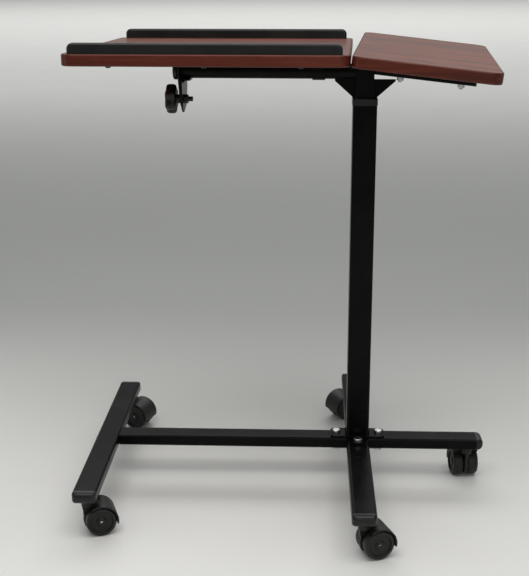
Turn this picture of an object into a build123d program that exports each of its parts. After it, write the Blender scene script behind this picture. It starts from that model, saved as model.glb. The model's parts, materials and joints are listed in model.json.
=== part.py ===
from build123d import *
from build123d.topology import SkipClean
import os
from math import cos, radians, sin, sqrt

# Rolling overbed table: an H-shaped steel base on five twin-wheel casters, one telescopic
# post, a wide top that tilts about its round beam and a narrow fixed side top.
# Millimetres and degrees.  +Z is up, the floor is Z = 0.  The pieces are drawn about the
# post's own axis, and the whole table is then moved to stand on the middle of its outline.

# ------------------------------------------------------------------ driving sizes: casters
wheel_diameter = 50.0
wheel_width = 19.0
wheel_side_gap = 0.5            # running gap between a wheel and the web of its hood
web_thickness = 6.0
caster_trail = 20.0             # wheel axle behind the swivel stem
caster_height = 63.0            # floor to the underside of the base bars
fender_gap = 1.2
fender_wall = 2.5
boss_diameter = 18.0
boss_clearance = 1.5            # over the wheels
stem_diameter = 8.0
stem_reach = 12.0               # stem inside the hood's boss
stem_flange_diameter = 16.0
stem_flange_thickness = 2.0
socket_diameter = 14.0
socket_height = 16.0
axle_diameter = 5.0
running_clearance = 0.05        # radial, for every shaft that turns in a hole
seat_clearance = 0.02           # radial, for a pin or a plug that is driven in
face_gap = 0.2                  # between faces that turn or slide past each other
stem_inset = 27.0               # stem axis from the end of a base bar

# rest angle of each caster's trail, turned from +X towards +Y
caster_turns = {
    "near_left": 20.0,
    "near_middle": 22.0,
    "right": 98.0,
    "far_left": -20.0,
    "far_middle": 210.0,
}

# ------------------------------------------------------------------ driving sizes: base
bar_width = 40.0
bar_height = 20.0
bar_wall = 1.5
bar_corner = 5.0
cross_bar_x = -451.7            # axis of the left cross bar
cross_bar_length = 500.0
long_bar_end = 225.5            # free right end of the long bar
leg_reach = 310.0               # free ends of the front and rear legs
cap_head = 12.0
cap_plug = 20.0
cap_round = 9.0
plug_clearance = 0.1
insert_thickness = 6.0          # threaded plate in the end of the long bar
foot_span = 96.0
foot_thickness = 4.0
clamp_thickness = 3.0
clamp_width = 22.0              # arms of the plate under the bars
foot_bolt_spacing = 76.0
foot_bolt_diameter = 8.0
joint_bolt_diameter = 6.0
joint_bolt_spacing = 20.0
hole_clearance = 0.15           # radial, round a bolt

# ------------------------------------------------------------------ driving sizes: post
post_width = 40.0
post_wall = 1.5
post_corner = 4.0
post_top = 682.0
collar_margin = 0.8             # collar flange outside the post
collar_height = 12.0
collar_overlap = 4.0            # skirt of the collar over the post
collar_sleeve = 30.0            # sleeve of the collar down inside the post
inner_width = 30.0
inner_wall = 1.5
inner_corner = 3.0
inner_bottom = 172.0
glide_flange = 15.0
glide_plug = 25.0
slide_clearance = 0.15
height_travel = 280.0
head_twist = -2.5               # play in the guides turns the head a little about the post
clamp_height = 637.0            # axis of the height screw
clamp_boss_diameter = 18.0
clamp_boss_length = 8.0
clamp_screw_diameter = 8.0
height_knob_diameter = 38.0
height_knob_thickness = 13.0
height_hub_diameter = 18.0
height_hub_length = 8.0

# ------------------------------------------------------------------ driving sizes: tops
board_thickness = 18.0
edge_strip = 3.0                # edge moulding outside the board
edge_barb_depth = 6.0
edge_barb_width = 1.6
board_corner = 20.0
main_top_z = 773.5
main_length = 430.0
top_depth = 455.0
main_right = -22.9              # right edge of the main top
side_length = 220.0
side_left = -11.4               # left edge of the side top
side_top_z = 779.0
side_twist = -2.4
side_droop = 6.2
side_tilt = 0.7                 # far long edge of the side top up
main_tilt = -0.8                # far long edge of the main top down, at rest
ledge_inset = 11.5              # end of a ledge from the end of the top
ledge_thickness = 15.0
ledge_height = 16.0
ledge_setback = 4.0             # outer face of a ledge inside the edge of the top
ledge_round = 9.0
ledge_screw_inset = 72.0
ledge_screw_diameter = 4.0
ledge_screw_bite = 10.0
screw_head_diameter = 8.0
screw_head_height = 2.5

# ------------------------------------------------------------------ driving sizes: head
beam_diameter = 25.0
beam_wall = 1.5
beam_drop = 23.5                # beam axis below the underside of the main top
beam_end = -313.0
beam_cap_diameter = 30.0
beam_cap_thickness = 6.0
gusset_thickness = 3.0
gusset_reach = 35.0
gusset_foot = 5.0
saddle_x = -76.5
saddle_width = 21.0
saddle_strap = 2.0
saddle_flange = 26.0
sector_x = -306.2               # middle of the slotted sector plate
plate_thickness = 3.0
sector_near = 38.0              # sector plate to the near and the far side of the beam
sector_far = 55.0
sector_depth = 72.0             # lowest point of the plate below the beam
sector_screw_ys = (-28.0, 45.0)
sector_flange = 22.0
clamp_radius = 47.0             # tilt screw from the beam's axis
tilt_limit = 35.0
slot_slack = 1.2                # degrees of slot past each end of the tilt
ear_half_width = 25.0
ear_margin = 14.0               # ear below the tilt screw
ear_leg = 15.0
ear_bend = 6.0
tilt_screw_diameter = 8.0
nut_across_flats = 13.0
nut_thickness = 6.5
screw_tail = 7.5                # tilt screw past its nut
tilt_knob_diameter = 49.0
tilt_knob_thickness = 12.0
tilt_hub_diameter = 15.0
tilt_hub_length = 12.2
knob_lobes = 6
side_beam_width = 20.0
side_beam_height = 25.0
side_beam_wall = 1.5
side_beam_corner = 3.0
side_cap_head = 2.5
side_cap_plug = 15.0
side_beam_end = 195.6
strap_width = 30.0
strap_thickness = 5.0
strap_length = 300.0
side_bolt_places = (74.7, 174.2)
side_bolt_diameter = 6.0
side_bolt_tail = 3.0
side_nut_flats = 10.0
side_nut_thickness = 5.0
strap_screw_offset = 120.0
wood_screw_bite = 9.0

# ------------------------------------------------------------------ worked-out values
wheel_radius = wheel_diameter / 2
caster_width = web_thickness + 2 * (wheel_side_gap + wheel_width)
bar_bottom = caster_height
bar_top = bar_bottom + bar_height
cross_bar_reach = cross_bar_length / 2
foot_top = bar_top + foot_thickness
collar_top = post_top - collar_overlap + collar_height
board_bottom = main_top_z - board_thickness
beam_z = board_bottom - beam_drop
inner_top = beam_z + beam_diameter / 2
main_middle = main_right - main_length / 2
tilt_screw_z = beam_z - clamp_radius
ear_x = sector_x + plate_thickness + face_gap
ledge_length = main_length - 2 * ledge_inset
ledge_y = top_depth / 2 - ledge_setback - ledge_thickness / 2

# swivel axis and rest turn of each caster
caster_places = {
    "near_left": (cross_bar_x, -(cross_bar_reach - stem_inset)),
    "near_middle": (0.0, -(leg_reach - stem_inset)),
    "right": (long_bar_end - stem_inset, 0.0),
    "far_left": (cross_bar_x, cross_bar_reach - stem_inset),
    "far_middle": (0.0, leg_reach - stem_inset),
}


# ------------------------------------------------------------------ small helpers
def upright(diameter, bottom, top, x=0.0, y=0.0):
    """A round bar along Z."""
    bar = Cylinder(diameter / 2, top - bottom, align=(Align.CENTER, Align.CENTER, Align.MIN))
    return Pos(x, y, bottom) * bar


def along_x(diameter, start, end, y=0.0, z=0.0):
    """A round bar along X."""
    bar = Cylinder(diameter / 2, end - start, align=(Align.CENTER, Align.CENTER, Align.MIN))
    return Pos(start, y, z) * Rot(0, 90, 0) * bar


def along_y(diameter, start, end, x=0.0, z=0.0):
    """A round bar along Y."""
    bar = Cylinder(diameter / 2, end - start, align=(Align.CENTER, Align.CENTER, Align.MIN))
    return Pos(x, start, z) * Rot(-90, 0, 0) * bar


def block(x_min, x_max, y_min, y_max, z_min, z_max):
    """A box given by its faces."""
    box = Box(x_max - x_min, y_max - y_min, z_max - z_min)
    return Pos((x_min + x_max) / 2, (y_min + y_max) / 2, (z_min + z_max) / 2) * box


def rounded_bar(width, height, corner, length):
    """A bar of rounded section along Z from Z = 0: width in X, height in Y."""
    return extrude(RectangleRounded(width, height, corner), length)


def tube(width, height, corner, wall, length):
    """A hollow bar of rounded section along Z from Z = 0."""
    outside = RectangleRounded(width, height, corner)
    inside = RectangleRounded(width - 2 * wall, height - 2 * wall, corner - wall)
    return extrude(outside - inside, length)


def hexagon(across_flats, bottom, top, x=0.0, y=0.0):
    """A six-sided prism along Z."""
    prism = extrude(RegularPolygon(across_flats / 2, 6, major_radius=False), top - bottom)
    return Pos(x, y, bottom) * prism


def solids_of(*shapes):
    """One node made of several separate solids."""
    found = []
    for shape in shapes:
        found.extend(shape.solids())
    return Compound(children=found) if len(found) > 1 else found[0]


def lay_along_x(shape, start, y, z):
    """Turn a piece drawn along Z, width in X and height in Y, to run along +X."""
    return Pos(start, y, z) * Plane.YZ.location * shape


def lay_along_y(shape, x, start, z):
    """Turn a piece drawn along Z, width in X and height in Y, to run along +Y."""
    return Pos(x, start, z) * Rot(-90, 0, 0) * shape


# ------------------------------------------------------------------ base
bar_z = bar_bottom + bar_height / 2


def stem_hole(x, y):
    """The hole for a caster socket through the lower wall of a bar."""
    return upright(socket_diameter + 2 * seat_clearance, bar_bottom - 1, bar_z, x, y)


def foot_bolt_places():
    reach = foot_bolt_spacing / 2
    return [(reach, 0.0), (0.0, reach), (-reach, 0.0), (0.0, -reach)]


def foot_bolt_holes():
    """The four bolt holes right through plates and bars."""
    hole = foot_bolt_diameter + 2 * hole_clearance
    drills = [upright(hole, bar_bottom - 20, bar_top + 20, x, y) for x, y in foot_bolt_places()]
    return drills


def cut_all(shape, tools):
    for tool in tools:
        shape = shape - tool
    return shape


def left_cross_bar():
    length = cross_bar_length - 2 * cap_head
    bar = tube(bar_width, bar_height, bar_corner, bar_wall, length)
    bar = lay_along_y(bar, cross_bar_x, -cross_bar_reach + cap_head, bar_z)
    for name in ("near_left", "far_left"):
        bar = bar - stem_hole(*caster_places[name])
    hole = joint_bolt_diameter + 2 * hole_clearance
    for y in joint_bolt_offsets():
        bar = bar - along_x(hole, cross_bar_x - bar_width, cross_bar_x + bar_width, y, bar_z)
    return bar


def long_bar():
    start = cross_bar_x + bar_width / 2
    bar = tube(bar_width, bar_height, bar_corner, bar_wall, long_bar_end - cap_head - start)
    bar = lay_along_x(bar, start, 0, bar_z)
    bar = bar - stem_hole(*caster_places["right"])
    return cut_all(bar, foot_bolt_holes())


def leg(side, name):
    """The front (side -1) or rear (side 1) leg, butted against the long bar."""
    start = bar_width / 2
    bar = tube(bar_width, bar_height, bar_corner, bar_wall, leg_reach - cap_head - start)
    bar = lay_along_y(bar, 0, start, bar_z)
    bar = Rot(0, 0, 0 if side > 0 else 180) * bar
    bar = bar - stem_hole(*caster_places[name])
    return cut_all(bar, foot_bolt_holes())


def end_cap():
    """A domed plug, head from Z = 0 to cap_head, plug below it."""
    head = rounded_bar(bar_width, bar_height, bar_corner, cap_head)
    head = fillet(head.faces().sort_by(Axis.Z)[-1].edges(), cap_round)
    gap = bar_wall + plug_clearance
    plug = rounded_bar(bar_width - 2 * gap, bar_height - 2 * gap, bar_corner - gap, cap_plug)
    return head + Pos(0, 0, -cap_plug) * plug


def bar_end_caps():
    reach = cross_bar_reach - cap_head
    leg_end = leg_reach - cap_head
    cap = end_cap()
    spots = [
        lay_along_y(cap, cross_bar_x, reach, bar_z),
        Pos(cross_bar_x, -reach, bar_z) * Rot(90, 0, 0) * cap,
        lay_along_y(cap, 0, leg_end, bar_z),
        Pos(0, -leg_end, bar_z) * Rot(90, 0, 0) * cap,
        lay_along_x(cap, long_bar_end - cap_head, 0, bar_z),
    ]
    clear = socket_diameter + 2 * hole_clearance
    drills = [upright(clear, bar_bottom - 1, bar_top - bar_wall, x, y)
              for x, y in caster_places.values()]
    return solids_of(*[cut_all(spot, drills) for spot in spots])


def joint_bolt_offsets():
    return (-joint_bolt_spacing / 2, joint_bolt_spacing / 2)


def cross_bar_insert():
    """The threaded plate fixed in the end of the long bar."""
    gap = bar_wall + seat_clearance
    start = cross_bar_x + bar_width / 2
    plate = rounded_bar(bar_width - 2 * gap, bar_height - 2 * gap, bar_corner - gap,
                        insert_thickness)
    plate = lay_along_x(plate, start, 0, bar_z)
    for y in joint_bolt_offsets():
        plate = plate - along_x(joint_bolt_diameter + 2 * seat_clearance, start - 1,
                                start + insert_thickness + 1, y, bar_z)
    return plate


def cross_bar_bolts():
    """Two button-head bolts through the cross bar into the insert."""
    outer = cross_bar_x - bar_width / 2
    tip = cross_bar_x + bar_width / 2 + insert_thickness
    bolts = []
    for y in joint_bolt_offsets():
        head = along_x(11.0, outer - 3.0, outer, y, bar_z)
        head = fillet(head.faces().sort_by(Axis.X)[0].edges(), 2.0)
        bolts.append(head + along_x(joint_bolt_diameter, outer, tip, y, bar_z))
    return solids_of(*bolts)


def cross_plate(bottom, thickness, width):
    """A cross-shaped plate with rounded tabs over the four bars."""
    outline = Rectangle(foot_span, width) + Rectangle(width, foot_span)
    inner = [v for v in outline.vertices() if abs(v.X) < foot_span / 2 - 1
             and abs(v.Y) < foot_span / 2 - 1]
    outer = [v for v in outline.vertices() if v not in inner]
    outline = fillet(outer, 8.0)
    inner = [v for v in outline.vertices() if abs(abs(v.X) - abs(v.Y)) < 0.01
             and abs(v.X) < bar_width / 2]
    outline = fillet(inner, 4.0)
    plate = Pos(0, 0, bottom) * extrude(outline, thickness)
    return cut_all(plate, foot_bolt_holes())


def foot_plate():
    return cross_plate(bar_top, foot_thickness, bar_width - 4)


def clamp_plate():
    return cross_plate(bar_bottom - clamp_thickness, clamp_thickness, clamp_width)


foot_nut_height = 5.5
foot_head_height = 5.0


def base_bolts():
    """Domed hex bolts down through the foot plate, the bars and the clamp plate."""
    tip = bar_bottom - clamp_thickness - foot_nut_height
    bolts = []
    for x, y in foot_bolt_places():
        head = hexagon(nut_across_flats, foot_top, foot_top + foot_head_height, x, y)
        dome = upright(15.0, foot_top, foot_top + foot_head_height, x, y)
        dome = chamfer(dome.faces().sort_by(Axis.Z)[-1].edges(), 1.5)
        shank = upright(foot_bolt_diameter, tip, foot_top, x, y)
        bolts.append(head.intersect(dome) + shank)
    return solids_of(*bolts)


def base_nuts():
    top = bar_bottom - clamp_thickness
    nuts = []
    for x, y in foot_bolt_places():
        nut = hexagon(nut_across_flats, top - foot_nut_height, top, x, y)
        hole = upright(foot_bolt_diameter + 2 * seat_clearance, top - 10, top + 1, x, y)
        nuts.append(nut - hole)
    return solids_of(*nuts)


# ------------------------------------------------------------------ casters
stem_bottom = bar_bottom - stem_flange_thickness - face_gap - stem_reach
stem_top = bar_bottom + socket_height


def caster_sockets():
    """Steel bushes fixed in the lower wall of the bars."""
    bushes = []
    for x, y in caster_places.values():
        bush = upright(socket_diameter, bar_bottom, stem_top, x, y)
        bore = upright(stem_diameter + 2 * seat_clearance, bar_bottom - 1, stem_top + 1, x, y)
        bushes.append(bush - bore)
    return solids_of(*bushes)


def caster_stems():
    """Stems screwed into the sockets, each with a flange under the bar."""
    stems = []
    for x, y in caster_places.values():
        stem = upright(stem_diameter, stem_bottom, stem_top, x, y)
        flange = upright(stem_flange_diameter, bar_bottom - stem_flange_thickness, bar_bottom,
                         x, y)
        stems.append(stem + flange)
    return solids_of(*stems)


def arc_point(radius, angle):
    """A point round the wheel axle, in the upright plane of the trail."""
    return (caster_trail + radius * cos(radians(angle)), wheel_radius + radius * sin(radians(angle)))


def across_trail(sketch, width):
    """Thicken a sketch drawn in X and Z evenly to both sides in Y."""
    return extrude(Plane.XZ * sketch, width / 2, both=True)


def caster_hood():
    """Swivelling body: boss round the stem, neck, fender over both wheels and middle web."""
    inner = wheel_radius + fender_gap
    outer = inner + fender_wall
    boss_top = bar_bottom - stem_flange_thickness - face_gap
    near = caster_trail - boss_diameter / 2
    boss_bottom = wheel_radius + sqrt(inner ** 2 - near ** 2) + boss_clearance - fender_gap
    centre = Pos(caster_trail, wheel_radius)
    ring = centre * Circle(outer) - centre * Circle(inner)
    reach = 2 * outer
    fan = Polygon((caster_trail, wheel_radius), arc_point(reach, -12), arc_point(reach, 35),
                  arc_point(reach, 85), arc_point(reach, 122), align=None)
    fender = across_trail(ring & fan, caster_width)
    boss = upright(boss_diameter, boss_bottom, boss_top)
    half = boss_diameter / 2
    neck_outline = Polygon((0, boss_bottom), (0, boss_top), (half, boss_top),
                           arc_point(outer + 1.5, 100), arc_point(outer - 0.5, 80),
                           arc_point(inner, 80), arc_point(inner, 100), align=None)
    neck = across_trail(neck_outline, boss_diameter)
    clear = along_y(2 * inner, -caster_width, caster_width, caster_trail, wheel_radius)
    body = boss + neck - clear + fender
    web_disc = centre * Circle(inner + 0.5)
    low = 10.0
    web = across_trail(web_disc, web_thickness)
    web = web - block(-reach, 3 * reach, -reach, reach, -reach, low)
    stay = across_trail(Polygon((-half, boss_bottom + 3), (half, boss_bottom + 3),
                                arc_point(inner, 150), arc_point(inner, 165), align=None),
                        web_thickness)
    body = body + web + stay
    body = body - upright(stem_diameter + 2 * running_clearance, stem_bottom - face_gap,
                          bar_bottom)
    body = body - along_y(axle_diameter + 2 * seat_clearance, -caster_width, caster_width,
                          caster_trail, wheel_radius)
    return body


hub_recess = 3.0


def caster_axle():
    half = caster_width / 2 - hub_recess
    return along_y(axle_diameter, -half, half, caster_trail, wheel_radius)


def caster_wheel(side):
    """A moulded wheel with a crowned tread and a dished face, on one side of the web."""
    inner_face = web_thickness / 2 + wheel_side_gap
    outer_face = inner_face + wheel_width
    bore = axle_diameter / 2 + running_clearance
    hub = 9.0
    rim = wheel_radius - 4.0
    crown = 0.8
    profile = Polyline(
        (bore, inner_face),
        (wheel_radius - crown, inner_face),
        (wheel_radius, inner_face + 3),
        (wheel_radius, outer_face - 6),
        (wheel_radius - 1.2, outer_face - 2.5),
        (wheel_radius - 3.5, outer_face - 0.8),
        (rim - 1.0, outer_face - 1.0),
        (rim - 2.5, outer_face - 2.5),
        (hub + 1.5, outer_face - 1.2),
        (hub, outer_face),
        (hub - 2.0, outer_face),
        (bore, outer_face - 0.3),
        close=True,
    )
    wheel = revolve(make_face(Plane.XY * profile), Axis.Y, 360)
    wheel = Pos(caster_trail, 0, wheel_radius) * wheel
    # the axle ends inside a blind hub cap
    cap = along_y(2 * bore + 1.0, outer_face - hub_recess + face_gap, outer_face - 0.3,
                  caster_trail, wheel_radius)
    wheel = wheel + cap
    return wheel if side > 0 else mirror(wheel, Plane.XZ)


def place_caster(shape, name):
    x, y = caster_places[name]
    return Pos(x, y, 0) * Rot(0, 0, caster_turns[name]) * shape


# ------------------------------------------------------------------ post
def lower_post():
    """Square tube with a threaded boss for the height screw welded to its rear."""
    length = post_top - foot_top
    post = Pos(0, 0, foot_top) * tube(post_width, post_width, post_corner, post_wall, length)
    start = post_width / 2
    boss = along_y(clamp_boss_diameter, start - post_wall / 2, start + clamp_boss_length, 0,
                   clamp_height)
    hole = clamp_screw_diameter + 2 * running_clearance
    return post + boss - along_y(hole, 0, post_width, 0, clamp_height)


def post_collar():
    """Plastic guide pressed into the top of the post, with a square bore for the inner tube."""
    flange = post_width + 2 * collar_margin
    bottom = post_top - collar_overlap
    cap = Pos(0, 0, bottom) * rounded_bar(flange, flange, post_corner + collar_margin,
                                          collar_height)
    cap = fillet(cap.faces().sort_by(Axis.Z)[-1].edges(), 2.0)
    seat = post_width + 2 * seat_clearance
    cap = cap - Pos(0, 0, bottom) * rounded_bar(seat, seat, post_corner, collar_overlap)
    gap = post_wall + seat_clearance
    sleeve = rounded_bar(post_width - 2 * gap, post_width - 2 * gap, post_corner - gap,
                         collar_sleeve)
    cap = cap + Pos(0, 0, post_top - collar_sleeve) * sleeve
    bore_width = inner_width + 2 * slide_clearance
    bore = rounded_bar(bore_width, bore_width, inner_corner, 2 * collar_sleeve)
    return cap - Pos(0, 0, post_top - 1.2 * collar_sleeve) * Rot(0, 0, head_twist) * bore


def star_knob(diameter, thickness, hub_diameter, hub_length):
    """A lobed hand knob along Z: hub from Z = 0, head above it."""
    lobe = diameter * 0.19
    ring = diameter / 2 - lobe
    outline = Circle(ring)
    for turn in range(knob_lobes):
        angle = radians(360 / knob_lobes * turn)
        outline = outline + Pos(ring * cos(angle), ring * sin(angle)) * Circle(lobe)
    head = extrude(outline, thickness)
    head = fillet(head.faces().sort_by(Axis.Z)[-1].edges(), 2.0)
    head = Pos(0, 0, hub_length) * head
    shank_length = hub_length * 0.35
    shank = upright(hub_diameter, 0, shank_length)
    cone = Cone(hub_diameter / 2, diameter * 0.36, hub_length - shank_length,
                align=(Align.CENTER, Align.CENTER, Align.MIN))
    return shank + Pos(0, 0, shank_length) * cone + head


height_knob_start = post_width / 2 + clamp_boss_length + 1.0
height_screw_tip = inner_width / 2 + clamp_screw_diameter / 2 * sin(radians(abs(head_twist))) + 0.1
height_screw_end = height_knob_start + height_hub_length + height_knob_thickness * 0.6


def height_knob():
    knob = star_knob(height_knob_diameter, height_knob_thickness, height_hub_diameter,
                     height_hub_length)
    knob = Pos(0, height_knob_start, clamp_height) * Rot(-90, 0, 0) * knob
    return knob - along_y(clamp_screw_diameter + 2 * seat_clearance, 0, height_screw_end, 0,
                          clamp_height)


def height_screw():
    return along_y(clamp_screw_diameter, height_screw_tip, height_screw_end, 0, clamp_height)


# ------------------------------------------------------------------ head, drawn square to the post
def upper_post():
    length = inner_top - inner_bottom
    return Pos(0, 0, inner_bottom) * tube(inner_width, inner_width, inner_corner, inner_wall,
                                          length)


def lower_glide():
    """Plastic foot of the inner tube: a block that runs in the post and a plug in the tube."""
    outside = post_width - 2 * (post_wall + slide_clearance)
    foot = rounded_bar(outside, outside, post_corner - post_wall, glide_flange)
    foot = Pos(0, 0, inner_bottom - glide_flange) * Rot(0, 0, -head_twist) * foot
    gap = inner_wall + seat_clearance
    plug = rounded_bar(inner_width - 2 * gap, inner_width - 2 * gap, inner_corner - gap,
                       glide_plug)
    return foot + Pos(0, 0, inner_bottom) * plug


def main_beam():
    end = -inner_width / 2
    beam = along_x(beam_diameter, beam_end, end, 0, beam_z)
    bore = along_x(beam_diameter - 2 * beam_wall, beam_end - 1, end + 1, 0, beam_z)
    return beam - bore


def beam_end_cap():
    """Cap whose flange keeps the sector plate on the beam."""
    start = beam_end - beam_cap_thickness
    flange = along_x(beam_cap_diameter, start, beam_end, 0, beam_z)
    flange = fillet(flange.faces().sort_by(Axis.X)[0].edges(), 3.0)
    bore = beam_diameter - 2 * (beam_wall + seat_clearance)
    return flange + along_x(bore, beam_end, beam_end + 14.0, 0, beam_z)


def gusset(side):
    """Triangular web plate between the inner tube and a beam; its foot rests on the collar."""
    top = beam_z - beam_diameter / 2
    root = inner_width / 2
    outline = Polygon((root, collar_top), (root + gusset_foot, collar_top),
                      (root + gusset_reach, top - 3), (root + gusset_reach, top), (root, top),
                      align=None)
    plate = across_trail(outline, gusset_thickness)
    return plate if side > 0 else mirror(plate, Plane.YZ)


def lock_ear():
    """Bent bracket under the beam that carries the tilt screw."""
    beam_bottom = beam_z - beam_diameter / 2
    low = tilt_screw_z - ear_margin
    outline = Pos(0, (low + ear_half_width + beam_bottom) / 2) * Rectangle(
        2 * ear_half_width, beam_bottom - low - ear_half_width)
    tip = Pos(0, low + ear_half_width) * Circle(ear_half_width)
    outline = outline + (tip - Pos(0, low + 2 * ear_half_width) * Rectangle(
        2 * ear_half_width, 2 * ear_half_width))
    plate = Pos(ear_x - plate_thickness / 2, 0, 0) * extrude(Plane.YZ * outline, plate_thickness)
    start = ear_x - plate_thickness / 2
    leg_piece = block(start, start + ear_leg, -ear_half_width * 0.6, ear_half_width * 0.6,
                      beam_bottom - plate_thickness, beam_bottom)
    corner_x = start + plate_thickness
    corner_z = beam_bottom - plate_thickness
    bend = block(corner_x, corner_x + ear_bend, -ear_half_width * 0.6, ear_half_width * 0.6,
                 corner_z - ear_bend, corner_z)
    bend = bend - along_y(2 * ear_bend, -ear_half_width, ear_half_width, corner_x + ear_bend,
                          corner_z - ear_bend)
    ear = plate + leg_piece + bend
    return ear - along_x(tilt_screw_diameter + 2 * hole_clearance, start - 1, start + 10, 0,
                         tilt_screw_z)


def tilt_nut():
    """Hex nut welded to the ear."""
    start = ear_x + plate_thickness / 2
    nut = Rot(0, 90, 0) * hexagon(nut_across_flats, start, start + nut_thickness)
    nut = Pos(0, 0, tilt_screw_z) * nut
    return nut - along_x(tilt_screw_diameter + 2 * running_clearance, start - 1,
                         start + nut_thickness + 1, 0, tilt_screw_z)


# side top frame: origin at the middle of its left edge, on top
side_frame = (Pos(side_left, 0, side_top_z) * Rot(0, 0, side_twist) * Rot(0, side_droop, 0)
              * Rot(side_tilt, 0, 0))


def side_beam():
    top = -board_thickness - strap_thickness
    beam = tube(side_beam_width, side_beam_height, side_beam_corner, side_beam_wall,
                side_beam_end + 20)
    beam = lay_along_x(beam, -20, 0, top - side_beam_height / 2)
    beam = cut_all(beam, side_bolt_holes())
    # cut off flush with the inner tube
    return side_frame * beam - block(-200, inner_width / 2, -100, 100, inner_bottom, side_top_z)


def side_bolt_holes():
    hole = side_bolt_diameter + 2 * hole_clearance
    return [upright(hole, -90, -board_thickness, x) for x in side_bolt_places]


def side_beam_cap():
    top = -board_thickness - strap_thickness
    gap = side_beam_wall + seat_clearance
    head = rounded_bar(side_beam_width, side_beam_height, side_beam_corner, side_cap_head)
    plug = rounded_bar(side_beam_width - 2 * gap, side_beam_height - 2 * gap,
                       side_beam_corner - gap, side_cap_plug)
    cap = head + Pos(0, 0, -side_cap_plug) * plug
    return side_frame * lay_along_x(cap, side_beam_end, 0, top - side_beam_height / 2)


def side_straps():
    """Two flat bars across the beam that carry the side top."""
    straps = []
    for x in side_bolt_places:
        top = -board_thickness
        strap = Pos(x, 0, top - strap_thickness) * extrude(
            RectangleRounded(strap_width, strap_length, 4.0), strap_thickness)
        strap = cut_all(strap, side_bolt_holes())
        for y in (-strap_screw_offset, strap_screw_offset):
            hole = ledge_screw_diameter + 2 * hole_clearance
            strap = strap - upright(hole, top - 20, top + 1, x, y)
        straps.append(side_frame * strap)
    return solids_of(*straps)


def side_bolts():
    """Flush bolts down through strap and beam; their ends show under the beam."""
    top = -board_thickness
    low = top - strap_thickness - side_beam_height
    bolts = []
    for x in side_bolt_places:
        shank = upright(side_bolt_diameter, low - side_nut_thickness - side_bolt_tail, top, x)
        nut = hexagon(side_nut_flats, low - side_nut_thickness, low, x)
        bolts.append(side_frame * (shank + nut))
    return solids_of(*bolts)


def wood_screw(x, y, face_z, bite, grip=0.0):
    """Pan-head screw driven up: its head lies under face_z, with grip of metal above it."""
    head = upright(screw_head_diameter, face_z - screw_head_height, face_z, x, y)
    head = fillet(head.faces().sort_by(Axis.Z)[0].edges(), 1.2)
    return head + upright(ledge_screw_diameter, face_z, face_z + grip + bite, x, y)


def pilot_hole(x, y, face_z, depth):
    return upright(ledge_screw_diameter + 2 * seat_clearance, face_z - 1, face_z + depth, x, y)


def strap_screw_places():
    return [(x, y) for x in side_bolt_places for y in (-strap_screw_offset, strap_screw_offset)]


def side_top_screws():
    low = -board_thickness - strap_thickness
    screws = [side_frame * wood_screw(x, y, low, wood_screw_bite, strap_thickness)
              for x, y in strap_screw_places()]
    return solids_of(*screws)


# ------------------------------------------------------------------ tops
def board_outline(length, inset):
    return RectangleRounded(length - 2 * inset, top_depth - 2 * inset, board_corner - inset)


def edge_moulding(length, top_z):
    """Rounded edge moulding with a barb that sits in a groove of the board."""
    bottom = top_z - board_thickness
    ring = extrude(board_outline(length, 0) - board_outline(length, edge_strip - seat_clearance),
                   board_thickness)
    ring = Pos(0, 0, bottom) * fillet_rim(ring)
    barb = extrude(board_outline(length, edge_strip / 2) - board_outline(
        length, edge_strip + edge_barb_depth), edge_barb_width)
    barb = Pos(0, 0, bottom + board_thickness / 2 - edge_barb_width / 2) * barb
    return ring + barb


def fillet_rim(ring):
    """Round the outer top and bottom rims of the moulding."""
    outer = []
    for face in (ring.faces().sort_by(Axis.Z)[-1], ring.faces().sort_by(Axis.Z)[0]):
        outer.extend(face.outer_wire().edges())
    return fillet(outer, edge_strip - 0.3)


def board_core(length, top_z):
    """Laminated board inside the moulding, with the groove for its barb."""
    bottom = top_z - board_thickness
    core = extrude(board_outline(length, edge_strip), board_thickness)
    slack = 0.1
    groove = extrude(board_outline(length, 0) - board_outline(
        length, edge_strip + edge_barb_depth + slack), edge_barb_width + 2 * slack)
    lift = board_thickness / 2 - edge_barb_width / 2 - slack
    return Pos(0, 0, bottom) * (core - Pos(0, 0, lift) * groove)


def ledge_screw_places():
    reach = main_length / 2 - ledge_screw_inset
    return [(main_middle + x, y) for y in (-ledge_y, ledge_y) for x in (-reach, 0.0, reach)]


saddle_screw_y = beam_diameter / 2 + saddle_strap + saddle_flange / 2
sector_screw_x = sector_x - plate_thickness / 2 - sector_flange / 2


def underside_screw_places():
    """Screws that hold the saddle and the sector plate under the main top."""
    places = [(saddle_x, y) for y in (-saddle_screw_y, saddle_screw_y)]
    places += [(sector_screw_x, y) for y in sector_screw_ys]
    return places


def main_top_board():
    """The board; its top face is parted along the ledges, which leaves a clear work face."""
    core = Pos(main_middle, 0, 0) * board_core(main_length, main_top_z)
    for x, y in ledge_screw_places():
        core = core - pilot_hole(x, y, board_bottom, board_thickness + 1)
    for x, y in underside_screw_places():
        core = core - pilot_hole(x, y, board_bottom, wood_screw_bite)
    line = ledge_y - ledge_thickness / 2
    reach = main_length
    middle = block(main_middle - reach, main_middle + reach, -line, line, 0, 2 * main_top_z)
    strips = (core - middle).solids()
    with SkipClean():
        core = core & middle
        for strip in strips:
            core = core + strip
    return core


def main_top_edge():
    return Pos(main_middle, 0, 0) * edge_moulding(main_length, main_top_z)


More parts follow.
